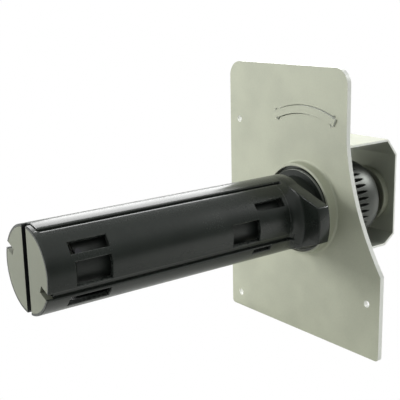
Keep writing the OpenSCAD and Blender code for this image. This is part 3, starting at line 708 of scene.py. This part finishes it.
def arm_radius(angle):
    """Distance from the axis to the arm's outline. Each side is a straight line that leaves the
    sleeve at a tangent, and the end is an arc about the axis. Where the two meet, a soft
    minimum of both rounds the corner. Elsewhere it is the sleeve's radius."""
    off = np.abs((angle - arm_angle + 180) % 360 - 180)
    side = root_r / np.cos(np.radians(np.clip(arm_tangent - off, 0, 65)))
    soft = corner_softness
    outline = -soft * np.logaddexp(-side / soft, -arm_reach / soft)
    return np.maximum(np.where(off <= arm_tangent, outline, 0), sleeve_r)


def lever_angles():
    """Angles of the lever's grid in degrees: even ones, and close ones at the arm's corners and
    at the lips of the two grooves and the two laps."""
    angles = [np.arange(0, 360, 2.5)]
    for side in (-1, 1):
        angles.append(arm_angle + side * (arm_corner + np.linspace(-1.8, 1.8, 13)))
    lips = degrees(np.array([-0.02, 0.02, 0.2, 0.62]))
    for centre, half in ((groove, groove_half), (seam, lap_half)):
        for middle_line in (centre, centre + 180):
            for side in (-1, 1):
                angles.append(middle_line + side * (degrees(half) + lips))
    angles = np.unique(np.round(np.concatenate(angles) % 360, 3))
    return angles[np.concatenate([[True], np.diff(angles) > 0.03])]


def sleeve_outline(angle):
    """Radius of a sleeve with both grooves and both laps, all the way around."""
    cuts = ((groove, groove_half, groove_floor), (seam, lap_half, lap_r))
    radii = [channel(angle + shift, centre + turned, half, floor_r)
             for centre, half, floor_r in cuts for turned in (0, 180) for shift in (-360, 0, 360)]
    return np.minimum.reduce(radii)


# %% Driver lever
def lever_mesh(name):
    """The closed grid. From the sleeve the section rises in a quarter ellipse to the flare's top,
    crosses the arm's front, rounds both arm edges, and returns through the seat and the bore."""
    angle = lever_angles()
    reach = arm_radius(angle)[None, :]
    top = np.minimum(reach, flare_top)
    rise = np.linspace(0, math.pi / 2, 13)[:, None]
    flare_x = lever_face * (1 - np.sin(rise)) + 0 * reach
    flare_r = sleeve_r + (top - sleeve_r) * (1 - np.cos(rise))
    grooved = np.minimum(flare_r, sleeve_outline(angle)[None, :] + (flare_r - sleeve_r))
    flare_r = np.where(flare_x < channel_end, grooved, flare_r)
    lip = np.linspace(0, math.pi / 2, 5)[:, None]
    edge = np.minimum(arm_edge, (reach - top) * 0.8 + 0.3)
    front_x = edge - edge * np.cos(lip)
    front_r = reach - edge + edge * np.sin(lip)
    back_x = lever_thick - edge * (1 - np.sin(lip))
    back_r = reach - edge * (1 - np.cos(lip))
    one = np.ones_like(reach)
    tail = [(lever_thick, lever_bore), (lever_seat, lever_bore), (lever_seat, sleeve_bore),
            (lever_face, sleeve_bore)]
    x = np.concatenate([flare_x, front_x, back_x] + [one * px for px, pr in tail])
    r = np.concatenate([flare_r, front_r, back_r] + [one * pr for px, pr in tail])
    return mesh_from(name, around_axis(x, r, np.radians(angle)), loop_quads(*x.shape))


def loop_quads(rows, columns):
    """Quads of a grid that closes on itself in both directions, facing outwards when the rows
    run from the low end of the axis and the columns from the top towards the front."""
    number = np.arange(rows * columns).reshape(rows, columns)
    down = np.roll(number, -1, 0)
    along = np.roll(number, -1, 1)
    both = np.roll(down, -1, 1)
    return np.stack([number, along, both, down], -1).reshape(-1, 4)


lever = stand_in("driver_lever", lever_mesh("driver_lever"), "drive_lever")
print(lever.name, len(lever.data.polygons), "faces")

# %% Finishes by face
def wear_faces(piece, extra):
    """Gives some faces another finish. `extra` lists pairs of a finish and a test that takes the
    faces' centres in millimetres and their normals, and says which faces wear it."""
    mesh = piece.data
    count = len(mesh.polygons)
    centres = np.empty(count * 3)
    normals = np.empty(count * 3)
    mesh.polygons.foreach_get("center", centres)
    mesh.polygons.foreach_get("normal", normals)
    chosen = np.zeros(count, np.int32)
    for number, (kind, test) in enumerate(extra, start=1):
        mesh.materials.append(finishes[kind])
        chosen[test(centres.reshape(-1, 3) / MM, normals.reshape(-1, 3))] = number
    mesh.polygons.foreach_set("material_index", chosen)
    print(piece.name, count, "faces,", np.bincount(chosen).tolist(), "by finish")


# %% [markdown]
# ## Turned pieces
# The hub and the rear bush were turned on a lathe, and so they are here: a closed profile is
# carried around the axis. Each corner of the profile is first replaced by a short arc, because
# a turned corner is always broken a little and its highlight is what the eye reads.

# %% Lathe
def broken_corners(profile, radius, points=4):
    """The closed profile with each corner replaced by a curve through the corner's neighbourhood:
    a quadratic curve from `radius` before it to `radius` after it."""
    p = np.array(profile, float)
    before = np.roll(p, 1, 0) - p
    after = np.roll(p, -1, 0) - p
    size = [np.minimum(radius, np.linalg.norm(v, axis=1) * 0.45) for v in (before, after)]
    start = p + before / np.linalg.norm(before, axis=1)[:, None] * size[0][:, None]
    end = p + after / np.linalg.norm(after, axis=1)[:, None] * size[1][:, None]
    t = np.linspace(0, 1, points)[None, :, None]
    curve = (1 - t) ** 2 * start[:, None] + 2 * t * (1 - t) * p[:, None] + t ** 2 * end[:, None]
    return curve.reshape(-1, 2)


def turned_mesh(name, profile, steps=144):
    """A closed profile of [distance along the axis, radius] carried around the axis."""
    turn_by = np.linspace(0, 2 * math.pi, steps, endpoint=False)[None, :]
    x = profile[:, :1] + 0 * turn_by
    r = profile[:, 1:] + 0 * turn_by
    return mesh_from(name, around_axis(x, r, turn_by), loop_quads(*x.shape))


# %% Hub
def axis_ends(node):
    """Where a node starts and ends along the axis, in millimetres."""
    return [round(corner[0] / MM, 2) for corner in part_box(node)]


def flange_faces(centres, normals):
    """The hub's front flange rim, shown inside the plate's collar: rubbed metal and a painted
    highlight.
    """
    return (centres[:, 0] < 25.7) & (np.hypot(centres[:, 1], centres[:, 2]) > 31.7)


hub_low, hub_high = axis_ends("drive_hub")
tube_r, neck_r, flange_r, journal_r, core_r = 22.5, 27.0, 33.0, 31.0, 15.0
hub_profile = [(hub_low, tube_r), (hub_low, neck_r), (24.5, neck_r), (24.5, 31.8),
               (25.6, flange_r), (27.4, flange_r), (27.4, journal_r), (hub_high, journal_r),
               (hub_high, core_r), (23.5, core_r), (23.5, tube_r)]
hub_section = broken_corners(hub_profile, 0.3)
hub = stand_in("stepped_hub", turned_mesh("stepped_hub", hub_section), "drive_hub")
# The flange rim is lighter: partly rubbed metal, partly a painted highlight.
wear_faces(hub, [("flange_wear_and_highlight", flange_faces)])
print("hub", hub_low, "to", hub_high)

# %% Rear bush
bush_low, bush_high = axis_ends("rear_bush")
stub_bore, body_r, rim_r = 12.05, 15.0, 23.6
bush_profile = [(106.4, stub_bore), (106.4, 20.6), (bush_low, 21.8), (bush_low, rim_r),
                (109.0, rim_r), (109.0, body_r), (bush_high, body_r), (bush_high, stub_bore)]
bush_section = broken_corners(bush_profile, 0.5)
bush = stand_in("dished_bush", turned_mesh("dished_bush", bush_section), "rear_bush")
print("bush", bush_low, "to", bush_high)

# %% [markdown]
# ## The toothed drum
# A hob cuts the drum's teeth. The cutter is round, so where it leaves the metal each gap runs
# out in a pointed scoop on the dome behind the teeth. The surface is one radius for each
# place along and around the drum: the smaller of the plain drum and the cutter's own surface,
# which rises along a circle as it runs out.

# %% Drum profile
drum_teeth, drum_tip, drum_root = 42, 35.12, 31.68
cut_end, hob_r = 64.0, 13.0
dome_start, dome_end, dome_low, dome_sweep = 69.0, 93.0, 25.6, math.radians(77)
drum_front, stub_end = 40.0, 115.2
shoulder_r, stub_r, cord_r, cavity_r = 16.0, 12.0, 5.0, 27.0
front_chamfer = 0.7


def dome_radius(x):
    """Radius of the drum without teeth: straight up to the dome, then part of an ellipse."""
    share = np.clip((x - dome_start) / (dome_end - dome_start), 0, 1)
    lean = np.arcsin(share * math.sin(dome_sweep))
    fall = (np.cos(lean) - math.cos(dome_sweep)) / (1 - math.cos(dome_sweep))
    return dome_low + (drum_tip - dome_low) * fall


def tooth_height(turn_by):
    """0 in a gap and 1 on a tooth, with straight flanks between. `pitch_share` is the distance
    from the middle of a tooth, as a share of the pitch, so a gap is centred at the top."""
    pitch_share = np.abs((turn_by * drum_teeth / (2 * math.pi)) % 1 - 0.5)
    return np.clip((0.49 - pitch_share) / 0.26, 0, 1)


# %% Drum mesh
def drum_mesh(name, per_tooth=20):
    """Closed grid around a section: front face, teeth, dome, shoulder, stub, bore, cavity, web.
    Only the toothed stretch and its run-out depend on the angle."""
    turn_by = np.linspace(0, 2 * math.pi, drum_teeth * per_tooth, endpoint=False)[None, :]
    teeth_x, run_out_x = np.linspace(drum_front, 62.0, 5), np.linspace(63.0, 74.0, 34)
    x = np.concatenate([teeth_x, run_out_x, np.linspace(75.0, dome_end, 16)])[:, None]
    rise = hob_r - np.sqrt(np.maximum(hob_r ** 2 - np.clip(x - cut_end, 0, hob_r) ** 2, 0))
    gap = drum_root + (drum_tip - drum_root) * tooth_height(turn_by) + rise
    r = np.minimum(dome_radius(x), gap)
    r[0] = np.minimum(r[0], drum_tip - front_chamfer)
    rest = broken_corners([(93.4, shoulder_r), (105.8, shoulder_r), (105.8, stub_r), (stub_end, stub_r),
                           (stub_end, cord_r), (75.0, cord_r), (75.0, cavity_r), (44.0, cavity_r),
                           (44.0, core_r), (drum_front, core_r)], 0.4)
    one = np.ones_like(turn_by)
    xs = np.concatenate([x * one, rest[:, :1] * one])
    rs = np.concatenate([r, rest[:, 1:] * one])
    return mesh_from(name, around_axis(xs, rs, turn_by), loop_quads(*xs.shape))


drum = stand_in("hobbed_drum", drum_mesh("hobbed_drum"), "toothed_drum", crisp=38.0)
print(drum.name, len(drum.data.polygons), "faces")

# %% [markdown]
# ## Plate, strap and end disc
# These are sheet and cast pieces whose outlines are already right in the mechanical model.
# What they lack is a broken edge. A copy of each is merged into one skin, its flat triangles
# are joined, and a bevel rounds its edges. The faces are then sorted by where they point and
# lie, so that a sheared edge gets its own finish, and painted shade darkens the grooves beside the
# plate's strip, the inside of the strap and the slot across the end disc.

# %% Softened copies
def softened(name, node, edge, extra):
    """A copy of a node's mesh with its edges rounded. `extra` lists pairs of a finish and a test
    that takes the faces' centres in millimetres and normals and says which faces wear it."""
    work = bmesh.new()
    work.from_mesh(nodes[node].data)
    bmesh.ops.remove_doubles(work, verts=work.verts, dist=2e-6)
    bmesh.ops.dissolve_limit(work, angle_limit=math.radians(0.6), verts=work.verts, edges=work.edges)
    mesh = bpy.data.meshes.new(name)
    work.to_mesh(mesh)
    work.free()
    piece = stand_in(name, mesh, node)
    wear_faces(piece, extra)
    round_edges(piece, edge)
    return piece


# %% Tests for faces
plate_front = axis_ends("side_plate")[0]
collar_outer, collar_bore_r, collar_depth = 45, 35.1, 6
strip_low, strip_inner, strip_outer, strip_end = 60, 72, 86, -29.5
strap_middle = (70, 6)


def axis_distance(centres):
    """Distance of each face's centre from the axis of rotation."""
    return np.hypot(centres[:, 1], centres[:, 2])


def outline_faces(centres, normals):
    """Faces of the plate's sheared outline: they look sideways and lie outside the collar."""
    sideways = np.abs(normals[:, 0]) < 0.3
    return sideways & (axis_distance(centres) > collar_outer) & ~strip_faces(centres, normals)


def strip_faces(centres, normals):
    """Side walls and floors of the two grooves beside the half-sheared strip, made near-black as
    painted shade.
    """
    radius = axis_distance(centres)
    depth = centres[:, 0]
    over = (centres[:, 2] > strip_low) & (radius > strip_inner) & (radius < strip_outer)
    over &= centres[:, 1] > strip_end
    groove_side = (np.abs(normals[:, 0]) < 0.3) | (depth > plate_front + 0.2)
    return over & groove_side & (depth < plate_front + 3.8)


def slot_faces(centres, normals):
    """Walls and floor of the slot across the end disc, made near-black as painted shade."""
    across = np.abs(centres[:, 1]) < slot_half + 0.05
    return across & (centres[:, 0] > free_end + 0.05) & (centres[:, 0] < free_end + 4.4)


def sheet_edges(centres, normals):
    """Sheared edges along the sides of the strap."""
    return np.abs(normals[:, 1]) > 0.9


def collar_bore(centres, normals):
    """The drawn collar's bore, burnished by the punch."""
    inside = (axis_distance(centres) < collar_bore_r) & (centres[:, 0] < plate_front + collar_depth)
    return inside & (np.abs(normals[:, 0]) < 0.5)


def strap_hollow(centres, normals):
    """Faces of the strap that look inwards, darkened as painted shade inside the strap's hollow."""
    outwards = ((centres[:, 0] - strap_middle[0]) * normals[:, 0]
                + (centres[:, 2] - strap_middle[1]) * normals[:, 2])
    return (outwards < 0) & (np.abs(normals[:, 1]) < 0.5)


# %% Plate, strap and disc
# The grooves beside the plate's strip take painted shade.
plate_tests = [("cut_edge", outline_faces), ("groove_painted_shade", strip_faces), ("shield_zinc", collar_bore)]
plate = softened("pressed_plate", "side_plate", 0.35, plate_tests)
# The strap's inward faces take the painted shade.
strap_tests = [("cut_edge", sheet_edges), ("strap_painted_shade", strap_hollow)]
strap = softened("bent_strap", "strap_bracket", 0.35, strap_tests)
# The slot across the end disc takes painted shade.
disc = softened("cast_end_disc", "end_disc", 0.3, [("slot_painted_shade", slot_faces)])
print("softened:", [piece.name for piece in (plate, strap, disc)])
